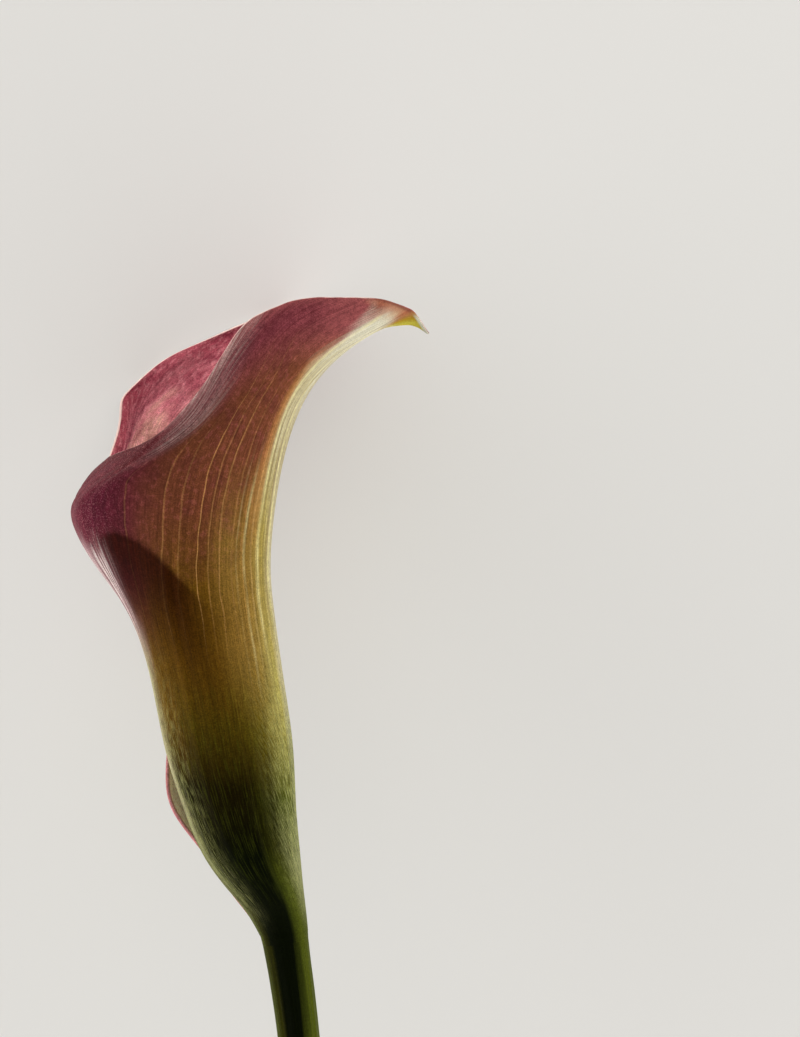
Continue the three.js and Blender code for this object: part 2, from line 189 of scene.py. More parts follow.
# The flare's rings: along, then points (across, x, y, z) from the outer margin to the inner.
FLARE = {
    0.48: [
        (-1, -26.6, 53.9, -7.2), (-0.9, -25.8, 53.9, -9.2), (-0.75, -23.3, 53.8, -11.6),
        (-0.5, -14.7, 54.1, -13.6), (-0.25, -5.6, 54.2, -9.4), (0, -1.8, 55, 1.5),
        (0.2, -5.1, 54.7, 9.8), (0.4, -13.4, 54.7, 13.2), (0.6, -22.4, 54.3, 9.4),
        (0.8, -26.8, 53.5, -0.5), (0.9, -25.6, 53.7, -5.3), (1, -22.6, 54, -7.9),
    ],
    0.58: [
        (-1, -29.9, 63.8, -10), (-0.75, -26, 65.9, -15.5), (-0.5, -15.5, 66.9, -16),
        (-0.25, -6.5, 65.9, -10.5), (0, -2.3, 66, 2), (0.2, -5.7, 66.6, 11),
        (0.4, -13.9, 67.1, 15.6), (0.6, -24, 66, 13.3), (0.8, -32.9, 63.2, 3), (1, -27.2, 63.8, -7.6),
    ],
    0.68: [
        (-1, -31.4, 72.3, -14), (-0.75, -26.6, 80.6, -21), (-0.5, -13.2, 83.5, -20),
        (-0.25, -3.2, 81.6, -12.5), (0, -0.1, 81.7, 2.5), (0.2, -3.1, 81.7, 12.5),
        (0.4, -11, 81.3, 18.8), (0.6, -23.4, 77, 18.6), (0.7, -31.4, 73.6, 13.6),
        (0.8, -36.4, 71, 5.5), (1, -31.4, 70.2, -7.8),
    ],
    0.8: [
        (-1, -32, 76.8, -17.2), (-0.88, -29.4, 82, -22.3), (-0.75, -26.8, 88.5, -26.3),
        (-0.5, -12, 97, -25), (-0.25, 2.6, 97.3, -16), (0, 7.2, 97, 2), (0.2, 3.4, 97, 11.5),
        (0.4, -5.4, 94, 18.9), (0.5, -12.6, 87.6, 20.4), (0.6, -20.6, 82.4, 19.9),
        (0.7, -28.6, 79, 14.6), (0.8, -35.1, 76, 6.3), (1, -32.7, 73.2, -8.5),
    ],
    0.9: [
        (-1, -32.1, 78.9, -18.8), (-0.9, -29.6, 85.3, -24.2), (-0.83, -28.9, 90.3, -26.7),
        (-0.75, -26.8, 93.4, -28), (-0.65, -22.6, 97.1, -27.8), (-0.5, -13.3, 101.7, -26.8),
        (-0.35, -2, 104.6, -24), (-0.2, 10.6, 106.2, -11.5), (-0.1, 16.4, 105.4, -5),
        (0, 17.7, 104.4, 1), (0.1, 16.5, 105, 4.5), (0.2, 10.8, 105.9, 10), (0.3, 3.2, 105.8, 15.2),
        (0.4, -3.9, 102.2, 19.2), (0.45, -8.2, 98, 20.5), (0.52, -13.8, 90.4, 20.9),
        (0.6, -20.2, 85, 19.6), (0.7, -27.6, 81.3, 13.5), (0.8, -33.2, 79, 6), (1, -32.9, 74.4, -9),
    ],
    1: [
        (-1, -32.5, 81.1, -20), (-0.94, -31.4, 85.1, -22.7), (-0.88, -30.7, 89.3, -25),
        (-0.83, -30.6, 92.1, -26.2), (-0.8, -30.1, 93.3, -27), (-0.75, -28.2, 95.4, -28),
        (-0.65, -22.5, 99.9, -28.2), (-0.55, -15.9, 103.1, -27.2), (-0.45, -8.7, 106.4, -27.2),
        (-0.35, 0.5, 109, -27.5), (-0.25, 9.6, 110, -20.5), (-0.15, 16.9, 109.6, -11),
        (-0.07, 21.9, 107.8, -4.2), (-0.03, 23.7, 106, -1), (0, 25.3, 103.3, 0), (0.03, 23.7, 106, 1),
        (0.07, 21.9, 107.6, 2.5), (0.15, 17.5, 109.2, 5.5), (0.25, 9.9, 109.4, 10),
        (0.33, 2.8, 108.8, 14.2), (0.4, -3.3, 106.4, 16.9), (0.45, -7.3, 103.2, 18.6),
        (0.5, -12.4, 95.2, 19.8), (0.55, -16.6, 89.8, 19.9), (0.6, -20, 86.4, 18.6),
        (0.66, -23.8, 84.1, 15.5), (0.72, -27.6, 82.8, 11.5), (0.8, -30.6, 81.6, 5),
        (0.9, -33.1, 78.6, -2), (1, -33.1, 75.5, -9.3),
    ],
}

# Degrees round the tube between which the inner margin starts to tuck in, and how far across the
# outer one starts to stand off.
TUCK_FROM = 172
TUCK_TO = 200
LIFT_FROM = 0.72


def tube_ring(section, across):
    _, left, right, near, far, inner, outer, tuck, lift = section
    degrees = across * np.where(across >= 0, inner, outer)
    angle = np.radians(degrees)
    depth = np.where(degrees >= 0, near, far)
    tucked = -tuck * rise(degrees, TUCK_FROM, min(inner, TUCK_TO))
    lifted = lift * rise(-across, LIFT_FROM, 1)
    offset = np.where(across > 0, tucked, lifted)
    x = (left[0] + right[0]) / 2 + ((right[0] - left[0]) / 2 + offset) * np.cos(angle)
    y = (left[1] + right[1]) / 2 + (right[1] - left[1]) / 2 * np.cos(angle)
    z = (depth + offset) * np.sin(angle)
    return np.stack([x, y, z], -1)


def flare_ring(points, across):
    points = np.array(points)
    return natural_spline(points[:, 0], points[:, 1:], across)


def outer_face(across, along):
    """The spathe's outer face: points[along, across]."""
    rings = [tube_ring(section, across) for section in TUBE]
    rings += [flare_ring(points, across) for points in FLARE.values()]
    levels = [section[0] for section in TUBE] + list(FLARE)
    return natural_spline(levels, rings, along)


def outward(points, passes):
    """Unit normals of a grid of points, pointing out of the flower, evened out by some passes."""
    normals = np.cross(np.gradient(points, axis=0), np.gradient(points, axis=1))
    normals /= np.linalg.norm(normals, axis=2, keepdims=True)
    for _ in range(passes):
        wide = np.pad(normals, ((1, 1), (1, 1), (0, 0)), mode="edge")
        normals = 2 * normals + wide[:-2, 1:-1] + wide[2:, 1:-1] + wide[1:-1, :-2] + wide[1:-1, 2:]
        normals /= np.linalg.norm(normals, axis=2, keepdims=True)
    return normals


def spathe_thickness(across, along):
    rib = SPATHE_THICKNESS_BASE + (SPATHE_THICKNESS_RIM - SPATHE_THICKNESS_BASE) * along
    return rib * (1 - SPATHE_MARGIN_THINNING * rise(abs(across), SPATHE_THINNING_FROM, 1))


# ---- putting it down

# How many places across and along the leaf put_down_move() looks at.
SURVEY_ACROSS = 105
SURVEY_ALONG = 81


def put_down_move():
    """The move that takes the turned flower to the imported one, by the spathe's lowest corner."""
    points = outer_face(np.linspace(-1, 1, SURVEY_ACROSS), np.linspace(0, 1, SURVEY_ALONG))
    low = np.array(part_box("spathe")[0]) / MM
    return low - turned(points).reshape(-1, 3).min(0)


REST_MOVE = put_down_move()


def put_down(points):
    """From the flower's own frame in millimetres to the row frame in metres."""
    return (turned(np.asarray(points, float)) + REST_MOVE) * MM


def add_object(name, data):
    thing = bpy.data.objects.new(name, data)
    scene.collection.objects.link(thing)
    return thing


def add_piece(name, points, faces, leaf):
    """A mesh piece of the flower. leaf holds three numbers for each point, for its material."""
    mesh = bpy.data.meshes.new(name)
    mesh.from_pydata(put_down(points).tolist(), [], faces)
    mesh.attributes.new("leaf", "FLOAT_VECTOR", "POINT").data.foreach_set("vector", np.ravel(leaf))
    mesh.shade_smooth()
    mesh.update()
    return add_object(name, mesh)


# ---- the stem's line

STEM_SHOULDER = (0.1, -1.45 - SEAT_GAP, 0)
STEM_LINE = centripetal_line([
    STEM_SHOULDER,
    (1.5, -11, -0.1),
    (2.6, -20, -0.6),
    (6.2, -0.4 * STEM_LENGTH, -0.27 * STEM_DROP),
    (0.78 * STEM_LEAN, -0.72 * STEM_LENGTH, -0.64 * STEM_DROP),
    (STEM_LEAN, -STEM_LENGTH, -STEM_DROP),
])
STEM_UP = -along_line(STEM_LINE, [0])[1][0]


def stem_radius(fraction):
    shoulder = (STEM_TOP_RADIUS - STEM_RADIUS) * np.exp(-fraction * STEM_SHOULDER_FADE)
    return STEM_RADIUS + shoulder + (STEM_CUT_RADIUS - STEM_RADIUS) * rise(fraction, 0, 1)


# ---- spathe

# On the real flower the spathe grows out of the stem, so its skin runs on over the stem's top
# as a thin collar, and no gap shows there.
COLLAR_LENGTH = 2.2
COLLAR_STAND_OFF = 0.07
COLLAR_SINK = 0.03
COLLAR_SKIN = 0.02
COLLAR_RINGS = 7

# The mesh's steps across and along the leaf, closest together at its edges and on the back rib.
ACROSS_STEPS = [(-0.985, 0.0022), (-0.17, 0.0105), (0.17, 0.0042), (0.985, 0.0085), (1, 0.0022)]
ALONG_STEPS = [(0.95, 0.0066), (0.99, 0.004), (1, 0.0009)]
NORMAL_PASSES = 8

# Fine ridges on the back rib, and soft folds all over. Both fade out towards the foot.
RIB_REACH = 0.17
RIB_RIDGE_SPACING = 0.024
RIB_RIDGE_HEIGHT = 0.06
RIDGES_FULL_FROM = 0.2
FOLD_COUNT = 14
FOLD_WAVES = (7, 26)
FOLD_HEIGHT = 0.05
FOLDS_FULL_FROM = 0.15

# The edges are rounded down to this share of the thickness. The tip is thinner and hollowed.
EDGE_SHARE = 0.12
TIP_THINNING = 0.5
HOOK_HOLLOW = 0.4

VEIN_LEAN = 0.22


def vein_place(across, along):
    """Where a vein that passes here started across the tube: towards the rim, veins lean in."""
    return across * (1 + VEIN_LEAN * rise(along, 0.7, 0.95))


def hook_hollow(across, along):
    """How far the tip's underside is hollowed into a hook, in millimetres."""
    near_tip = rise(along, 0.92, 0.96) * (1 - rise(along, 0.97, 1))
    return HOOK_HOLLOW * near_tip * (1 - rise(abs(across), 0, 0.05))


def edge_distance(points):
    """How far each point of the grid lies from the rim and from the side margins."""
    upwards = np.linalg.norm(np.diff(points, axis=0), axis=2)
    sideways = np.linalg.norm(np.diff(points, axis=1), axis=2)
    to_rim = np.pad(np.cumsum(upwards[::-1], axis=0)[::-1], ((0, 1), (0, 0)))
    to_outer = np.pad(np.cumsum(sideways, axis=1), ((0, 0), (1, 0)))
    to_inner = np.pad(np.cumsum(sideways[:, ::-1], axis=1)[:, ::-1], ((0, 0), (0, 1)))
    return np.minimum(to_rim, np.minimum(to_outer, to_inner))


def folds(across, along):
    """The heights of the leaf's soft lengthwise folds, in millimetres."""
    chance = np.random.default_rng(4)
    height = np.zeros(np.broadcast(across, along).shape)
    for _ in range(FOLD_COUNT):
        waves_across = chance.uniform(*FOLD_WAVES)
        waves_along = chance.uniform(-1.5, 1.5)
        phase = chance.uniform(0, 2 * math.pi)
        size = chance.uniform(0.4, 1) * FOLD_WAVES[0] / waves_across
        height += size * np.sin(2 * math.pi * (waves_across * across + waves_along * along) + phase)
    return FOLD_HEIGHT * height


def spathe_faces(across, along):
    """The finished outer and inner faces, with where each point's vein started and lies."""
    base = outer_face(across, along)
    normals = outward(base, NORMAL_PASSES)
    a, v = np.meshgrid(across, along)
    base[..., 1] += hook_hollow(a, v)
    w = vein_place(a, v)
    at_tip = rise(v, 0.93, 1) * (1 - rise(abs(a), 0, 0.13))
    thickness = spathe_thickness(a, v) * (1 - TIP_THINNING * at_tip)
    inside = np.clip(edge_distance(base) / (thickness / 2), 0, 1)
    half = thickness / 2 * np.maximum(np.sqrt(1 - (1 - inside) ** 2), EDGE_SHARE)
    on_rib = 1 - rise(abs(w), 0, RIB_REACH)
    ridges = RIB_RIDGE_HEIGHT * on_rib * np.cos(2 * math.pi * w / RIB_RIDGE_SPACING)
    ridges *= rise(v, 0, RIDGES_FULL_FROM)
    sway = folds(w, v) * rise(inside, 0, 1) * rise(v, 0, FOLDS_FULL_FROM)
    middle = base + normals * (sway - thickness / 2)[..., None]
    outer = middle + normals * (half + ridges)[..., None]
    inner = middle - normals * half[..., None]
    return outer, inner, w, v


def collar_rows(ring, inset, shares):
    """Rings that lead the spathe's skin from its foot down over the stem's top, and into it."""
    centre = np.array(STEM_SHOULDER) + STEM_UP * SEAT_GAP
    offsets = ring - centre
    offsets -= (offsets @ STEM_UP)[:, None] * STEM_UP
    reach = np.linalg.norm(offsets, axis=1, keepdims=True)
    rows = []
    for share in shares:
        depth = SEAT_GAP + COLLAR_LENGTH * share
        stand_off = COLLAR_STAND_OFF * (1 - share) - COLLAR_SINK * share - inset
        radius = stem_radius(depth / STEM_LENGTH) + stand_off
        rows.append(centre - STEM_UP * depth + offsets / reach * radius)
    return rows


def leaf_shell_faces(rows, columns):
    """Faces of a shell whose columns are closed loops, with a strip down each side margin."""
    number = np.arange(rows * columns).reshape(rows, columns)
    loops = np.vstack([number, number[:1]])
    skins = np.stack([loops[:-1, :-1], loops[1:, :-1], loops[1:, 1:], loops[:-1, 1:]], -1)
    faces = [skins.reshape(-1, 4)]
    for column, flip in ((0, False), (columns - 1, True)):
        out = number[: rows // 2, column]
        into = number[rows // 2 :, column][::-1]
        strip = np.stack([out[:-1], into[:-1], into[1:], out[1:]], -1)
        faces.append(strip[:, ::-1] if flip else strip)
    return np.vstack(faces).tolist()


def make_spathe():
    outer, inner, w, v = spathe_faces(steps(-1, ACROSS_STEPS), steps(0, ALONG_STEPS))
    shares = np.linspace(1, 0, COLLAR_RINGS)
    foot = outer[0]
    outer = np.concatenate([collar_rows(foot, 0, shares), outer])
    inner = np.concatenate([collar_rows(foot, COLLAR_SKIN, shares), inner])
    w = np.concatenate([w[:1]] * COLLAR_RINGS + [w])
    v = np.concatenate([v[:1]] * COLLAR_RINGS + [v])

    # One closed loop for each column: up the outer face, over the rim, down the inner face.
    points = np.concatenate([outer, inner[::-1]])
    sides = np.concatenate([np.zeros_like(v), np.ones_like(v)])
    leaf = np.stack([np.concatenate([w, w[::-1]]), np.concatenate([v, v[::-1]]), sides], -1)
    faces = leaf_shell_faces(*points.shape[:2])
    return add_piece("spathe_leaf", points.reshape(-1, 3), faces, leaf.reshape(-1, 3))


# ---- stem

STEM_SIDES = 96
STEM_RINGS = 220
STEM_STEP_CROWDING = 1.3
STEM_RIDGE_COUNTS = (15, 19, 27)
STEM_RIDGE_HEIGHT = 0.05
SHOULDER_SHARE = 0.97
SHARP_ANGLE = 50

# The cut's rings, from the middle out: shares of the radius, and how far each is sunk. The outer
# edge is sunk too, which rounds it.
CUT_SHARES = np.array([0.3, 0.55, 0.75, 0.88, 0.955, 0.985])
CUT_SINKS = np.array([0.35, 0.3, 0.2, 0.1, 0.03, 0])
CUT_EDGE_SINK = 0.25 / 3


def angles_round(sides):
    return 2 * math.pi * np.arange(sides) / sides


def round_rings(centres, directions, radii, sides):
    """Rings of points square to their directions. radii may differ from side to side."""
    right = np.cross((0, 0, 1), directions)
    right /= np.linalg.norm(right, axis=1, keepdims=True)
    up = np.cross(directions, right)
    angle = angles_round(sides)
    radii = np.broadcast_to(radii, (len(centres), sides))[..., None]
    circle = right[:, None] * np.cos(angle)[:, None] + up[:, None] * np.sin(angle)[:, None]
    return centres[:, None] + radii * circle


def capped(rings):
    """Points and faces of a closed body from rings, with a hub over each end."""
    count, sides = rings.shape[:2]
    points = np.vstack([rings.reshape(-1, 3), rings[0].mean(0), rings[-1].mean(0)])
    faces = ring_faces(count, sides).tolist()
    last = (count - 1) * sides
    for j in range(sides):
        after = (j + 1) % sides
        faces.append([count * sides, after, j])
        faces.append([count * sides + 1, last + j, last + after])
    return points, faces


def ridged_radii(fractions, angle):
    """The stem's radius at each fraction and angle, with fine ridges that fade out at the top."""
    chance = np.random.default_rng(7)
    ridges = np.zeros(len(angle))
    for count in STEM_RIDGE_COUNTS:
        ridges += np.cos(count * angle + chance.uniform(0, 2 * math.pi)) / 2
    fade = rise(fractions, 0.02, 0.07)
    return stem_radius(fractions)[:, None] + STEM_RIDGE_HEIGHT * ridges * fade[:, None]


def make_stem():
    fractions = np.linspace(1, 0, STEM_RINGS) ** STEM_STEP_CROWDING
    centres, headings = along_line(STEM_LINE, fractions)
    upwards = -headings
    angle = angles_round(STEM_SIDES)
    radii = ridged_radii(fractions, angle)

    cut_centres = centres[0] + upwards[0] * CUT_SINKS[:, None]
    cut_radii = radii[0] * CUT_SHARES[:, None]
    centres[0] += upwards[0] * CUT_EDGE_SINK

    # The shoulder, and the neck that holds the spathe and the spadix.
    shoulder = centres[-1]
    neck_top = shoulder + upwards[-1] * (NECK_HEIGHT + SEAT_GAP)
    top_centres = np.array([shoulder, shoulder, neck_top])
    top_radii = np.array([STEM_TOP_RADIUS * SHOULDER_SHARE, NECK_RADIUS, NECK_RADIUS * NECK_TAPER])

    ring_centres = np.vstack([cut_centres, centres, top_centres])
    cut_upwards = [upwards[0]] * len(CUT_SHARES)
    ring_upwards = np.vstack([cut_upwards, upwards, [upwards[-1]] * len(top_radii)])
    ring_radii = np.vstack([cut_radii, radii, np.tile(top_radii[:, None], (1, STEM_SIDES))])
    rings = round_rings(ring_centres, ring_upwards, ring_radii, STEM_SIDES)
    points, faces = capped(rings)

    # The material reads how far round from the rib's side a point lies, how far down the stem
    # (on the cut, 1 at the edge to 2 in the middle), and whether it is on the cut.
    place = np.concatenate([2 - CUT_SHARES, fractions, np.zeros(len(top_radii))])
    on_cut = np.concatenate([np.ones(len(CUT_SHARES)), np.zeros(len(fractions) + len(top_radii))])
    from_rib = np.tile(abs(1 - angle / math.pi), len(rings))
    leaf = np.stack([from_rib, np.repeat(place, STEM_SIDES), np.repeat(on_cut, STEM_SIDES)], -1)
    leaf = np.vstack([leaf, (0.5, 2, 1), (0.5, 0, 0)])
    stem = add_piece("stem_finished", points, faces, leaf)
    stem.data.set_sharp_from_angle(angle=math.radians(SHARP_ANGLE))
    return stem


# ---- spadix

SPADIX_LINE = centripetal_line([
    (-0.3, 0.9 + SEAT_GAP, 0),
    (-3.7, 9.5, 0.1),
    (-7.1, 19.5, 0.3),
    (-9.6, 31, 0.3),
    (-11.6, SPADIX_LENGTH, 0),
])
SPADIX_RINGS = 420
SPADIX_SIDES = 150
SPADIX_END_RADIUS = 0.02

# Each row of florets is turned past the last one by the twist. The reach is how wide their domes
# are, and the rise how much of the depth stands out of the body.
FLORET_LENGTH = 1.05
FLORETS_AROUND = 15
FLORET_DEPTH = 0.28
FLORET_TWIST = 0.07
FLORET_REACH = 1.15
FLORET_RISE = 0.3


def spadix_radius(fraction):
    swelling = rise(fraction, 0, SPADIX_SWELLS_TO)
    body = SPADIX_FOOT_RADIUS + (SPADIX_RADIUS - SPADIX_FOOT_RADIUS) * swelling
    past = (fraction - SPADIX_TIP_FROM) / (SPADIX_TIP_TO - SPADIX_TIP_FROM)
    tip = SPADIX_RADIUS * np.sqrt(np.maximum(1 - past**2, 0)) ** SPADIX_TIP_POWER
    return np.where(fraction < SPADIX_TIP_FROM, body, tip)


def floret_height(distance, angle):
    """The tiny domes of the flowers: 1 on top of one, 0 between them. distance is up the spike."""
    row = distance / FLORET_LENGTH
    height = np.zeros_like(row)
    for shift in (0, 1):
        nearest = 2 * np.round((row - shift) / 2) + shift
        turn = angle / (2 * math.pi) * FLORETS_AROUND + 0.5 * shift + FLORET_TWIST * nearest
        off_row = row - nearest
        off_turn = 2 * (turn - np.round(turn))
        dome = 1 - (off_row**2 + off_turn**2) / FLORET_REACH
        height = np.maximum(height, np.sqrt(np.clip(dome, 0, 1)))
    return height


def make_spadix():
    fractions = np.sin(0.5 * math.pi * np.linspace(0, 1, SPADIX_RINGS))
    centres, headings = along_line(SPADIX_LINE, fractions)
    angle = angles_round(SPADIX_SIDES)
    distance, around = np.meshgrid(fractions * SPADIX_LENGTH, angle, indexing="ij")
    height = floret_height(distance, around)
    radii = spadix_radius(fractions)[:, None]
    off_ends = rise(fractions, 0, 0.02) * (1 - rise(fractions, 0.99, 1))
    radii = radii + FLORET_DEPTH * (FLORET_RISE - (1 - height)) * off_ends[:, None]
    radii = np.maximum(radii, SPADIX_END_RADIUS)
    rings = round_rings(centres, headings, radii, SPADIX_SIDES)
    points, faces = capped(rings)
    leaf = np.stack([around / (2 * math.pi), distance / SPADIX_LENGTH, height], -1).reshape(-1, 3)
    leaf = np.vstack([leaf, (0, 0, 0), (0, 1, 1)])
    return add_piece("spadix_florets", points, faces, leaf)


# ---- materials


def colour(red, green, blue):
    """A colour given as on a screen, 0 to 255, as a node's linear colour."""
    linear = []
    for value in (red, green, blue):
        share = value / 255
        linear.append(share / 12.92 if share <= 0.04045 else ((share + 0.055) / 1.055) ** 2.4)
    return (*linear, 1)


class Paint:
    """Short names for a node tree. Each call adds a node and gives back its output socket."""

    def __init__(self, name, world=False):
        self.owner = bpy.data.worlds.new(name) if world else bpy.data.materials.new(name)
        self.owner.use_nodes = True
        self.tree = self.owner.node_tree
        self.tree.nodes.clear()
        self.skin = None

    def add(self, kind, inputs, **settings):
        node = self.tree.nodes.new("ShaderNode" + kind)
        for key, value in settings.items():
            setattr(node, key, value)
        for key, value in inputs.items():
            if isinstance(value, bpy.types.NodeSocket):
                self.tree.links.new(value, node.inputs[key])
            else:
                node.inputs[key].default_value = value
        return node

    def node(self, kind, inputs, output=0, **settings):
        return self.add(kind, inputs, **settings).outputs[output]

    def leaf(self):
        """The mesh's three numbers for a point: together as a vector, then one by one."""
        vector = self.node("Attribute", {}, "Vector", attribute_name="leaf")
        return vector, *self.parts(vector)

    def parts(self, vector):
        return tuple(self.add("SeparateXYZ", {0: vector}).outputs)

    def vector(self, x, y, z):
        return self.node("CombineXYZ", {0: x, 1: y, 2: z})

    def object_place(self):
        return self.node("TexCoord", {}, "Object")

    def math(self, operation, a, b=0.0):
        return self.node("Math", {0: a, 1: b}, operation=operation)

    def plus(self, a, b):
        return self.math("ADD", a, b)

    def minus(self, a, b):
        return self.math("SUBTRACT", a, b)

    def times(self, *values):
        result = values[0]
        for value in values[1:]:
            result = self.math("MULTIPLY", result, value)
        return result

    def band(self, value, low, high):
        """0 below low, 1 above high, smooth between. With low above high it falls instead."""
        start, end = (0.0, 1.0) if low < high else (1.0, 0.0)
        limits = {"Value": value, 1: min(low, high), 2: max(low, high), 3: start, 4: end}
        return self.node("MapRange", limits, interpolation_type="SMOOTHSTEP")

    def spread(self, noise, low, high):
        """A noise, which keeps near its middle, stretched to run from low to high."""
        return self.node("MapRange", {"Value": noise, 1: 0.3, 2: 0.7, 3: low, 4: high})

    def stray(self, value, noise, reach):
        """A value that a noise moves up and down, within this reach."""
        return self.plus(value, self.spread(noise, -reach, reach))

    def ramp(self, value, stops):
        """A colour ramp. A stop is (place, colour) or (from, to, colour). A number is a grey."""
        stops = [(place, shade) for *places, shade in stops for place in places]
        node = self.add("ValToRGB", {0: value})
        elements = node.color_ramp.elements
        while len(elements) < len(stops):
            elements.new(0.5)
        for element, (place, shade) in zip(elements, stops):
            element.position = place
            element.color = shade if isinstance(shade, tuple) else (shade, shade, shade, 1)
        return node.outputs[0]

    def mix(self, share, a, b, blend="MIX"):
        inputs = {0: share, 6: a, 7: b}
        return self.node("Mix", inputs, 2, data_type="RGBA", blend_type=blend)

    def lit(self, shade, light):
        """A colour made lighter or darker by a number."""
        grey = self.node("CombineColor", {0: light, 1: light, 2: light})
        return self.mix(1.0, shade, grey, "MULTIPLY")

    def cover(self, shade, *masks):
        """Lays a colour over the skin so far, as strongly as the masks together say."""
        self.skin = self.mix(self.times(*masks), self.skin, shade)

    def noise(self, vector, scale, detail=2.0, roughness=0.5):
        """scale is one number, or three for a noise that is drawn out along an axis."""
        if isinstance(scale, tuple):
            vector = self.node("VectorMath", {0: vector, 1: scale}, operation="MULTIPLY")
            scale = 1.0
        inputs = {"Vector": vector, "Scale": scale, "Detail": detail, "Roughness": roughness}
        return self.node("TexNoise", inputs)

    def bump(self, height, distance, strength=1.0):
        inputs = {"Height": height, "Distance": distance, "Strength": strength}
        return self.node("Bump", inputs)

    def surface(self, **inputs):
        named = {key.replace("_", " "): value for key, value in inputs.items()}
        shader = self.node("BsdfPrincipled", named)
        self.add("OutputMaterial", {"Surface": shader})
        return self.owner


# The colours of the spathe and of the stem's skin.
# The near-black green is painted shade: it darkens the middle of the tube's foot and the stem's near
# and far sides.
SHADE_GREEN = colour(6, 9, 1)
DARK_MOSS = colour(34, 34, 2)
MOSS = colour(60, 66, 12)
SAGE = colour(108, 110, 72)
STRAW = colour(138, 127, 66)
OAT = colour(158, 149, 116)
IVORY = colour(184, 180, 160)
LEMON = colour(172, 160, 60)
OCHRE = colour(152, 122, 34)
GOLD = colour(116, 88, 36)
BRONZE = colour(88, 60, 12)
OLD_BRASS = colour(62, 48, 6)
DARK_STRAW = colour(78, 66, 12)
# Painted shade: the near-black umber in the tube's middle, just above the darkest green.
UMBER = colour(22, 16, 1)
WINE = colour(104, 46, 52)
RUST = colour(94, 51, 32)
BRICK = colour(128, 66, 66)
CLARET = colour(74, 28, 32)
PLUM = colour(98, 42, 53)
MAUVE = colour(138, 98, 97)
BLUSH = colour(180, 164, 154)
HAZE = colour(158, 128, 130)
ROSE = colour(160, 74, 86)
PALE_ROSE = colour(204, 128, 134)
SHELL = colour(182, 134, 120)
CREAM = colour(196, 184, 128)
DRY_GRASS = colour(150, 150, 92)
# Painted shadow: the near-black red of the patch under the lobe.
PAINTED_SHADOW = colour(34, 6, 0)
VEIN_TAN = colour(190, 142, 82)
TOFFEE = colour(148, 102, 62)
CINNAMON = colour(146, 94, 66)
SAND = colour(170, 142, 112)
FAWN = colour(164, 130, 108)
RUSSET = colour(120, 72, 60)
AMBER = colour(156, 108, 60)
SALMON = colour(152, 88, 62)
RED_BROWN = colour(112, 62, 52)
CRIMSON = colour(108, 30, 48)
DUSTY_ROSE = colour(176, 98, 106)
VIOLET = colour(68, 12, 32)
# The white of the painted sheen under the lobe.
SHEEN_THREAD = colour(212, 202, 196)
# The painted highlight along the rim.
RIM_HIGHLIGHT = colour(222, 194, 184)
MARGIN_PINK = colour(176, 104, 112)
# Near-white, partly painted light shining through the thin margin.
BACKLIT_MILK = colour(248, 232, 222)
BLOOM = colour(240, 232, 222)
WHITE = colour(255, 255, 255)

# The stem's cut.
PITH = colour(158, 164, 112)
PALE_PITH = colour(176, 180, 132)
STRAND = colour(116, 128, 66)
RIND = colour(92, 106, 44)

# The spadix.
FLORET_GAP = colour(150, 98, 20)
FLORET = colour(206, 158, 48)
FLORET_TOP = colour(238, 206, 104)
GREEN_FOOT = colour(150, 158, 70)
POLLEN = colour(246, 226, 150)
POLLEN_SHEEN = colour(250, 235, 190)

# The floor, its own faint glow, and the backdrop behind it.
PAPER = colour(178, 177, 175)
PALE_PAPER = colour(182, 181, 179)
PAPER_GLOW = colour(222, 219, 213)
BACKDROP = colour(227, 226, 221)

# The skin's colours lie in lanes that run up the leaf, side by side from the back rib to both
# margins. Each lane has its colours from the receptacle to the rim. LANES says between which
# distances from the rib a lane takes over. Low on the tube, the near-black middle of the face and
# lobe lanes is painted shade, and the paler rib, flank, turn and under lanes towards the tube's
# edges are partly the skin's own colour and partly painted light. Under the lobe, the turn lane's
# pale oat and haze are painted sheen.
RIB_LANE = [(0, MOSS), (0.09, 0.24, SAGE), (0.4, 0.7, OAT), (0.86, 1, IVORY)]
FLANK_LANE = [(0, MOSS), (0.1, SAGE), (0.2, MOSS), (0.34, 0.6, STRAW), (0.7, 0.78, OAT),
              (0.86, 0.97, IVORY), (1, BRICK)]
SIDE_LANE = [(0, 0.06, MOSS), (0.13, 0.2, DARK_MOSS), (0.31, DARK_STRAW), (0.44, 0.58, GOLD),
             (0.68, 0.8, RUST), (0.88, 1, BRICK)]
FACE_LANE = [(0, 0.12, SHADE_GREEN), (0.22, UMBER), (0.32, OLD_BRASS), (0.42, 0.52, BRONZE),
             (0.62, 0.78, RUST), (0.88, 0.92, WINE), (1, BRICK)]
LOBE_LANE = [(0, 0.1, SHADE_GREEN), (0.22, UMBER), (0.34, 0.42, BRONZE), (0.54, 0.84, CLARET),
             (0.92, WINE), (1, MAUVE)]
TURN_LANE = [(0, 0.06, DARK_MOSS), (0.14, SAGE), (0.26, 0.42, OAT), (0.52, 0.6, HAZE),
             (0.66, 0.72, PLUM), (0.84, 1, CLARET)]
UNDER_LANE = [(0, MOSS), (0.1, SAGE), (0.3, STRAW), (0.46, BLUSH), (0.54, HAZE), (0.62, MAUVE),
              (0.68, 0.8, PLUM), (1, CLARET)]
LANES = [(0.03, 0.1, FLANK_LANE), (0.11, 0.25, SIDE_LANE), (0.24, 0.38, FACE_LANE),
         (0.52, 0.66, LOBE_LANE), (0.67, 0.78, TURN_LANE), (0.8, 0.88, UNDER_LANE)]

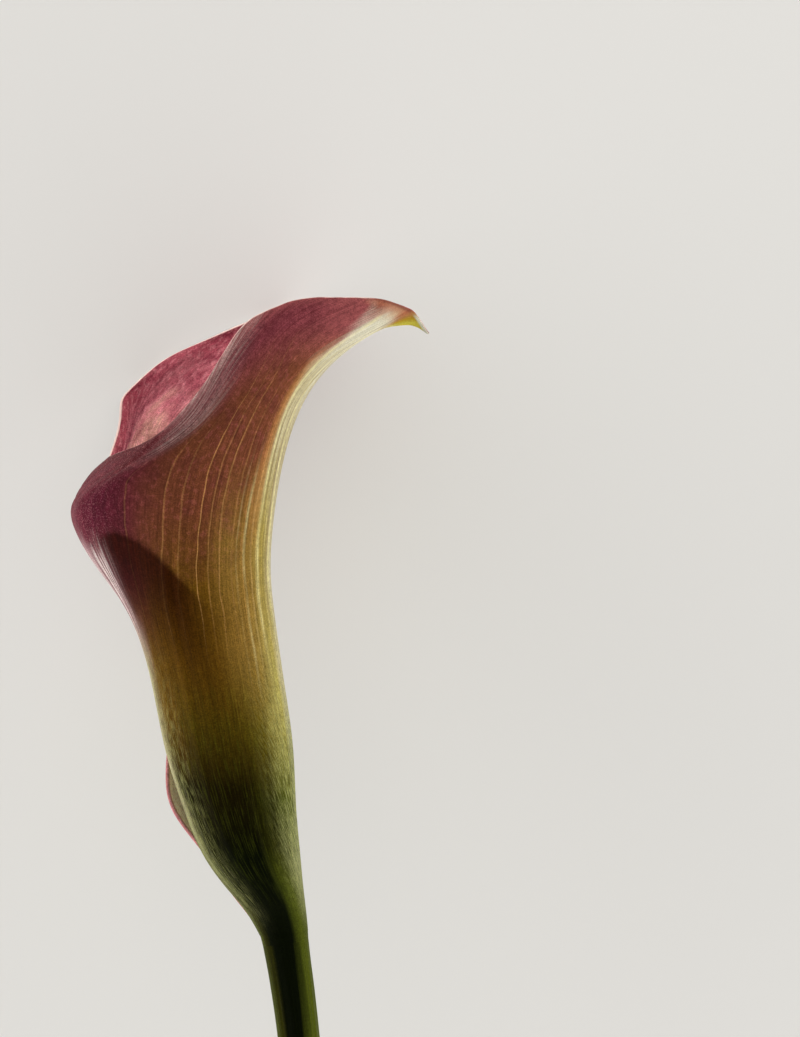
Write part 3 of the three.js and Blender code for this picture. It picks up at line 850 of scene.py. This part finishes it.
# The tip's colours, from the back rib round to the rim, and those of the whole inner face, from
# the receptacle to the rim.
TIP_RING = [(0, 0.024, LEMON), (0.036, OCHRE), (0.055, TOFFEE), (0.08, CINNAMON),
            (0.11, SAND), (0.145, FAWN), (0.18, RUSSET)]
INNER_LANE = [(0, 0.45, STRAW), (0.62, OAT), (0.68, 0.72, SHELL), (0.81, DUSTY_ROSE),
              (0.94, 1, ROSE)]

# The main veins: where they lie across the leaf, and how strongly they show.
VEINS = [(0.185, 0.35), (0.23, 0.35), (0.28, 0.45), (0.33, 0.8), (0.37, 0.5), (0.41, 0.85),
         (0.48, 0.4), (0.535, 0.45), (0.64, 0.2)]
VEIN_HALF_WIDTH = 0.0026
VEIN_SPAN = 0.7

# Pale lines up the back rib: where they lie, how wide they are and how strongly they show.
RIB_LINES = [(0.055, 0.016, 0.7), (0.1, 0.008, 0.5), (0.15, 0.014, 1), (0.185, 0.006, 0.3),
             (0.22, 0.01, 0.7), (0.258, 0.006, 0.3)]
RIB_SPAN = 0.32


def on_lines(paint, place, lines, span):
    """How strongly (middle, half width, strength) lines show at a place, from 0 to the span."""
    stops = [(0, 0.0)]
    for middle, half_width, strength in lines:
        low, high = middle - half_width, middle + half_width
        stops += [(low / span, 0.0), (middle / span, strength), (high / span, 0.0)]
    return paint.ramp(paint.math("DIVIDE", place, span), stops)


def fibres(paint, leaf):
    """Long and short lengthwise threads of the skin."""
    long_fibres = paint.noise(leaf, (120, 4, 3), 3.0)
    short_fibres = paint.noise(leaf, (170, 26, 3), 2.0)
    return long_fibres, short_fibres


def mottling(paint, long_fibres, short_fibres, specks):
    """How light the plant's skin is from place to place, around 1."""
    return paint.times(
        paint.spread(long_fibres, 0.8, 1.2), paint.spread(short_fibres, 0.86, 1.14),
        paint.spread(specks, 0.7, 1.3),
    )


def plant_surface(paint, short_fibres, height):
    """The waxy surface that the spathe and the stem share."""
    return paint.surface(
        Base_Color=paint.skin, Roughness=paint.spread(short_fibres, 0.38, 0.56),
        Normal=paint.bump(height, 0.00015, 0.7), Specular_IOR_Level=0.01,
        Sheen_Weight=0.08, Sheen_Roughness=0.3, Sheen_Tint=BLOOM,
    )


class LeafPaint(Paint):
    """The spathe's node tree, with the places and patterns that its layers of colour share."""

    def __init__(self, name):
        super().__init__(name)
        self.place_on_leaf, self.across, self.along, self.side = self.leaf()
        self.reach = self.math("ABSOLUTE", self.across)
        place = self.object_place()
        self.blotches = self.noise(place, 240.0, 3.0)
        self.freckles = self.noise(place, 1100.0, 2.0)
        self.specks = self.noise(place, 4200.0, 2.0)
        # The leaf's threads run up it, and towards the rim they bend over towards the tip.
        bend = self.plus(1.0, self.times(self.band(self.along, 0.72, 1.0), 1.2))
        self.flow = self.vector(self.times(self.across, bend), self.along, self.side)
        self.long_fibres, self.short_fibres = fibres(self, self.flow)

    def pattern(self, x, y, z, detail=2.0, roughness=0.5):
        """A noise fixed to the leaf, with this many spots across, along and from face to face."""
        return self.noise(self.place_on_leaf, (x, y, z), detail, roughness)

    def far(self, low, high):
        """A band by the distance from the back rib."""
        return self.band(self.reach, low, high)

    def up(self, low, high):
        """A band by the height on the leaf."""
        return self.band(self.along, low, high)


def paint_lanes(paint):
    reach = paint.stray(paint.reach, paint.pattern(7, 6, 1), 0.028)
    # In the turn's lane, colours reach further down the leaf towards the rib, and are frayed.
    ribward = paint.math("MAXIMUM", paint.minus(0.8, reach), 0.0)
    slanted = paint.plus(paint.along, paint.times(ribward, 0.45))
    frayed = paint.stray(slanted, paint.long_fibres, 0.03)
    paint.skin = paint.ramp(paint.along, RIB_LANE)
    for low, high, lane in LANES:
        share = paint.band(reach, low, high)
        if lane is SIDE_LANE:
            share = crisp_border(paint, reach, share)
        paint.cover(paint.ramp(frayed if lane is TURN_LANE else paint.along, lane), share)


def crisp_border(paint, reach, share):
    """The share of the side lane, whose border with the pale rib is crisp high up the leaf."""
    shift = paint.times(paint.up(0.85, 0.93), 0.012)
    ragged = paint.stray(reach, paint.long_fibres, 0.012)
    crisp = paint.band(paint.minus(ragged, shift), 0.15, 0.2)
    more = paint.times(paint.minus(crisp, share), paint.up(0.55, 0.7))
    return paint.plus(share, more)


def paint_pigment(paint, red):
    """Soft blotches and freckles where the leaf is red, and a golden edge along the pale rib."""
    paint.cover(CLARET, paint.band(paint.blotches, 0.48, 0.66), red, 0.3)
    paint.cover(BRICK, paint.band(paint.freckles, 0.5, 0.7), red, 0.18)
    paint.cover(AMBER, paint.far(0.15, 0.17), paint.far(0.23, 0.18), paint.up(0.55, 0.64),
                paint.up(0.88, 0.76), 0.6)
    streaks = paint.noise(paint.flow, (36, 5, 3), 3.0)
    paint.cover(CLARET, paint.band(streaks, 0.46, 0.64), paint.up(0.78, 0.9),
                paint.far(0.2, 0.28), 0.42)


def paint_lobe(paint, red):
    """The near lobe's violet heart, with bright specks round it."""
    paint.cover(VIOLET, paint.far(0.6, 0.71), paint.far(0.82, 0.72), paint.up(0.58, 0.66),
                paint.up(0.82, 0.7), paint.spread(paint.freckles, 0.4, 0.9))
    paint.cover(MAUVE, paint.band(paint.specks, 0.52, 0.68), paint.far(0.62, 0.74), red, 0.3)


def paint_foot(paint):
    """Pale and dark threads low down, strong towards the tube's two edges and faint in the painted
    shade of its middle. The pale threads are partly fibres and partly painted light on those edges.
    """
    edges = paint.math("MAXIMUM", paint.far(0.32, 0.08), paint.far(0.52, 0.76))
    skew = paint.times(paint.along, paint.far(0.6, 0.3), 1.1)
    place = paint.vector(paint.minus(paint.reach, skew), paint.along, paint.side)
    threads = paint.noise(place, (230, 46, 3), 2.0)
    low_down = paint.times(paint.up(0.5, 0.28), paint.up(0.0, 0.08), edges)
    paint.cover(DRY_GRASS, paint.band(threads, 0.46, 0.6), low_down, 0.55)
    paint.cover(DARK_MOSS, paint.band(threads, 0.48, 0.36), low_down, 0.4)
    paint.cover(MOSS, paint.band(paint.short_fibres, 0.5, 0.62), paint.up(0.5, 0.3),
                paint.up(0.02, 0.1), paint.far(0.2, 0.3), 0.2)


def paint_veins(paint):
    """The back rib's pale lines on gold, and the veins: golden lines on the brown."""
    line_at = paint.stray(paint.reach, paint.pattern(8, 13, 1), 0.005)
    on_rib = paint.times(paint.up(0.34, 0.5), paint.up(0.95, 0.89))
    paint.cover(GOLD, paint.far(0.04, 0.09), paint.far(0.27, 0.2), on_rib, paint.up(0.72, 0.56), 0.4)
    paint.cover(GOLD, paint.band(paint.long_fibres, 0.5, 0.4), paint.far(0.2, 0.16), on_rib,
                paint.up(0.55, 0.7), 0.5)
    rib_lines = on_lines(paint, line_at, RIB_LINES, RIB_SPAN)
    broken = paint.spread(paint.pattern(40, 9, 1), 0.05, 0.85)
    kept = paint.math("MAXIMUM", paint.far(0.18, 0.16), paint.up(0.72, 0.6))
    paint.cover(CREAM, rib_lines, on_rib, broken, kept)
    veins = [(place, VEIN_HALF_WIDTH, strength) for place, strength in VEINS]
    vein_lines = on_lines(paint, line_at, veins, VEIN_SPAN)
    paint.cover(VEIN_TAN, vein_lines, paint.up(0.4, 0.52), paint.up(0.9, 0.62), 0.75)


def paint_shadow_patch(paint):
    """A painted shadow under the lobe: a dark patch that has a clear upper edge."""
    slant = paint.plus(paint.times(paint.across, 0.44), 0.325)
    depth = paint.minus(paint.math("MINIMUM", slant, 0.62), paint.along)
    paint.cover(PAINTED_SHADOW, paint.band(depth, -0.007, 0.01), paint.band(depth, 0.24, 0.02),
                paint.band(paint.across, 0.33, 0.5), paint.band(paint.across, 0.75, 0.68), 0.9)


def paint_turn_sheen(paint):
    """Under the lobe, where the leaf turns away, the skin's threads show white and plum. The white
    threads are painted sheen.
    """
    up_to = paint.stray(paint.along, paint.short_fibres, 0.025)
    turn = paint.times(paint.far(0.69, 0.76), paint.up(0.42, 0.5), paint.band(up_to, 0.63, 0.56))
    paint.cover(PLUM, paint.band(paint.long_fibres, 0.52, 0.42), turn, 0.6)
    paint.cover(SHEEN_THREAD, paint.band(paint.long_fibres, 0.49, 0.58), turn, 0.75)


def paint_curl_sheen(paint):
    """Where the near margin curls over, painted sheen: a mauve haze and fine pale streaks, the
    highlight on its fine wrinkles.
    """
    sheen_streaks = paint.noise(paint.flow, (60, 14, 3), 2.0)
    slanted = paint.plus(paint.reach, paint.times(paint.minus(paint.along, 0.8), 0.2))
    curl = paint.times(paint.up(0.74, 0.88), paint.band(slanted, 0.48, 0.6), paint.far(0.74, 0.62))
    paint.cover(MAUVE, curl, 0.24)
    paint.cover(BLUSH, paint.band(sheen_streaks, 0.44, 0.66), curl, 0.52)


def paint_tip(paint):
    """The tip: yellow on its rib, brown round it, salmon and red-brown at the rim, a pale point."""
    frayed = paint.stray(paint.along, paint.long_fibres, 0.015)
    outer_side = paint.times(paint.far(0.02, 0.1), 0.03)
    on_tip = paint.band(paint.minus(frayed, outer_side), 0.872, 0.925)
    paint.cover(paint.ramp(paint.reach, TIP_RING), on_tip, paint.far(0.22, 0.18))
    tip_side = paint.times(paint.far(0.05, 0.08), paint.far(0.25, 0.19))
    paint.cover(SALMON, paint.up(0.94, 0.975), tip_side, 0.55)
    paint.cover(RED_BROWN, paint.up(0.972, 0.993), tip_side, 0.8)
    paint.cover(IVORY, paint.up(0.98, 0.99), paint.far(0.055, 0.035))


def paint_inner_face(paint):
    """The inner face: straw in the throat, rose above it, and plum towards the lobe."""
    up_to = paint.stray(paint.along, paint.pattern(9, 14, 3), 0.07)
    red = paint.up(0.6, 0.74)
    clouds = paint.pattern(9, 13, 3, 5.0, 0.62)
    streaks = paint.pattern(44, 30, 3, 4.0, 0.6)
    paint.skin = paint.ramp(up_to, INNER_LANE)
    paint.cover(PLUM, paint.far(0.7, 0.94), paint.up(0.95, 0.74), 0.9)
    paint.cover(CRIMSON, paint.band(clouds, 0.43, 0.64), red, 0.6)
    paint.cover(PALE_ROSE, paint.band(streaks, 0.46, 0.68), red, 0.55)
    # The outer margin's foot, where it stands off, is near-white: partly its pale skin, partly
    # painted light shining through it.
    paint.cover(BACKLIT_MILK, paint.band(paint.across, -0.78, -0.86), paint.up(0.42, 0.34))


def spathe_material():
    paint = LeafPaint("spathe_skin")
    paint_inner_face(paint)
    inner_skin = paint.skin
    paint_lanes(paint)
    red = paint.times(paint.up(0.45, 0.65), paint.far(0.14, 0.22))
    paint_pigment(paint, red)
    paint_lobe(paint, red)
    for layer in (paint_foot, paint_veins, paint_shadow_patch, paint_turn_sheen, paint_curl_sheen, paint_tip):
        layer(paint)

    # The inner face, and the pale lines of the rim and of the outer margin's foot. The rim's pale
    # line is a painted highlight.
    paint.cover(inner_skin, paint.band(paint.side, 0.3, 0.7))
    rim = paint.times(paint.up(0.986, 0.995), paint.far(0.2, 0.24), 0.85)
    paint.cover(RIM_HIGHLIGHT, rim)
    paint.cover(MARGIN_PINK, paint.band(paint.across, -0.982, -0.99), paint.up(0.5, 0.4), 0.85)

    # Light and dark threads and specks all over, but hardly any at the pale tip and on the rim.
    light = paint.times(mottling(paint, paint.long_fibres, paint.short_fibres, paint.specks),
                       paint.spread(paint.freckles, 0.86, 1.14))
    calm = paint.math("MAXIMUM", paint.times(paint.far(0.22, 0.14), paint.up(0.7, 0.88), 0.6), rim)
    calmer = paint.plus(light, paint.times(paint.minus(1.0, light), calm))
    paint.skin = paint.lit(paint.skin, calmer)
    height = paint.plus(paint.times(paint.short_fibres, 0.6), paint.times(paint.specks, 0.4))
    return plant_surface(paint, paint.short_fibres, height)


# How far the fibres' pattern runs down the stem, in the spathe's measure of "along".
STEM_FIBRE_RUN = 1.36

# The stem's colours round it, from the rib's side to the other. Its dark middle, on the near and far
# sides, is painted shade, and the paler green towards its flanks partly painted light. The number
# after the ramp is its darkest line, the middle of the painted shade.
STEM_ROUND = [(0, 0.24, MOSS), (0.38, 0.66, SHADE_GREEN), (0.77, DARK_MOSS), (1, MOSS)]
STEM_SHADE_MIDDLE = 0.52


def cut_skin(paint, place, along, clouds, specks):
    """The stem's cut: pale pith dotted with the ends of its strands, inside a green rind."""
    pith = paint.mix(paint.band(clouds, 0.4, 0.6), PITH, PALE_PITH)
    strands = paint.node("TexVoronoi", {"Vector": place, "Scale": 1100.0}, "Distance")
    pith = paint.mix(paint.times(paint.band(strands, 0.42, 0.2), 0.7), pith, STRAND)
    pith = paint.mix(paint.band(along, 1.16, 1.04), pith, RIND)
    return paint.lit(pith, paint.spread(specks, 0.85, 1.15))


def stem_material():
    paint = Paint("stem_skin")
    _, from_rib, along, cut = paint.leaf()
    place = paint.object_place()
    clouds = paint.noise(place, 120.0, 2.0)
    specks = paint.noise(place, 4200.0, 2.0)

    # Colours and fibres run on from the spathe's foot: the flower's near and far sides are darkest,
    # in painted shade.
    unrolled = paint.vector(from_rib, paint.times(along, -STEM_FIBRE_RUN), 0.0)
    long_fibres, short_fibres = fibres(paint, unrolled)
    narrowing = paint.plus(1.0, paint.times(paint.band(along, 0.0, 0.2), 0.35))
    from_dark = paint.times(paint.minus(from_rib, STEM_SHADE_MIDDLE), narrowing)
    patches = paint.noise(unrolled, (12, 2, 1), 2.0)
    around = paint.stray(paint.plus(from_dark, STEM_SHADE_MIDDLE), patches, 0.05)
    paint.skin = paint.ramp(around, STEM_ROUND)
    paint.cover(DARK_MOSS, paint.band(clouds, 0.5, 0.75), paint.band(along, 0.1, 0.25), 0.25)
    stripes = paint.spread(paint.noise(unrolled, (44, 1, 1), 2.0), 0.7, 1.3)
    stripes = paint.mix(paint.band(along, 0.01, 0.08), WHITE, stripes)
    light = paint.times(mottling(paint, long_fibres, short_fibres, specks), stripes)
    paint.skin = paint.lit(paint.skin, light)
    paint.cover(cut_skin(paint, place, along, clouds, specks), cut)
    ribbed = paint.times(short_fibres, paint.minus(1.0, cut), 0.6)
    return plant_surface(paint, short_fibres, paint.plus(ribbed, paint.times(specks, 0.4)))


def spadix_material():
    paint = Paint("spadix_florets_skin")
    _, _, along, height = paint.leaf()
    place = paint.object_place()
    clouds = paint.noise(place, 300.0, 2.0)
    grains = paint.noise(place, 5000.0, 2.0)
    paint.skin = paint.ramp(height, [(0, FLORET_GAP), (0.5, FLORET), (1, FLORET_TOP)])
    paint.cover(GREEN_FOOT, paint.band(along, 0.3, 0.05), 0.6)
    paint.cover(POLLEN, paint.band(clouds, 0.4, 0.7), 0.3)
    return paint.surface(
        Base_Color=paint.skin, Roughness=paint.plus(paint.times(grains, 0.2), 0.65),
        Normal=paint.bump(grains, 0.00008, 0.6),
        Sheen_Weight=0.3, Sheen_Roughness=0.5, Sheen_Tint=POLLEN_SHEEN,
    )


def floor_material():
    paint = Paint("floor_paper")
    place = paint.object_place()
    clouds = paint.noise(place, 2.0, 2.0)
    grain = paint.noise(place, 1800.0, 2.0)
    return paint.surface(
        Base_Color=paint.ramp(clouds, [(0.3, PAPER), (0.7, PALE_PAPER)]), Roughness=0.9,
        Normal=paint.bump(grain, 0.00003, 0.3), Specular_IOR_Level=0.0,
        Emission_Color=PAPER_GLOW, Emission_Strength=0.42,
    )


# ---- pieces


def finish_piece(piece, node, material):
    piece.data.materials.append(material)
    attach(piece, "root")
    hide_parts(node)


finish_piece(make_spathe(), "spathe", spathe_material())
finish_piece(make_stem(), "stem", stem_material())
finish_piece(make_spadix(), "spadix", spadix_material())

# ---- floor, light and camera

FLOOR_REACH = 3.0

# The light tent's glow by height, from the horizon to overhead.
TENT_GLOW = [(0, 0.7), (0.05, 0.28, 1.0), (0.42, 0.12), (1, 0.06)]
TENT_TINT = (1, 0.995, 0.98, 1)
TENT_STRENGTH = 5.2


def make_floor():
    mesh = bpy.data.meshes.new("floor")
    sides = (-1, -1), (1, -1), (1, 1), (-1, 1)
    corners = [(FLOOR_REACH * x, FLOOR_REACH * y, 0) for x, y in sides]
    mesh.from_pydata(corners, [], [(0, 1, 2, 3)])
    mesh.materials.append(floor_material())
    floor = add_object("floor", mesh)


def make_world():
    """A light tent, bright all round and dim overhead. The camera sees it plain."""
    paint = Paint("light_tent", world=True)
    direction = paint.node("TexCoord", {}, "Generated")
    glow = paint.ramp(paint.parts(direction)[2], TENT_GLOW)
    seen = paint.node("LightPath", {}, "Is Camera Ray")
    tinted = paint.mix(1.0, glow, TENT_TINT, "MULTIPLY")
    light = paint.node("Background", {"Color": tinted, "Strength": TENT_STRENGTH})
    plain = paint.node("Background", {"Color": BACKDROP, "Strength": 1.0})
    both = paint.node("MixShader", {0: seen, 1: light, 2: plain})
    paint.add("OutputWorld", {"Surface": both})
    scene.world = paint.owner


def make_camera():
    data = bpy.data.cameras.new("camera")
    data.sensor_width = SENSOR_SIZE
    data.lens = SENSOR_SIZE * CAMERA_DISTANCE / PICTURE_HEIGHT
    data.clip_start = 0.01
    camera = add_object("camera", data)
    place = put_down([(*PICTURE_MIDDLE, CAMERA_DISTANCE)])[0]
    camera.matrix_world = Matrix.Translation(Vector(place)) @ REST_TURN.to_4x4()
    scene.camera = camera


make_floor()
make_world()
make_camera()
scene.view_settings.view_transform = "Standard"
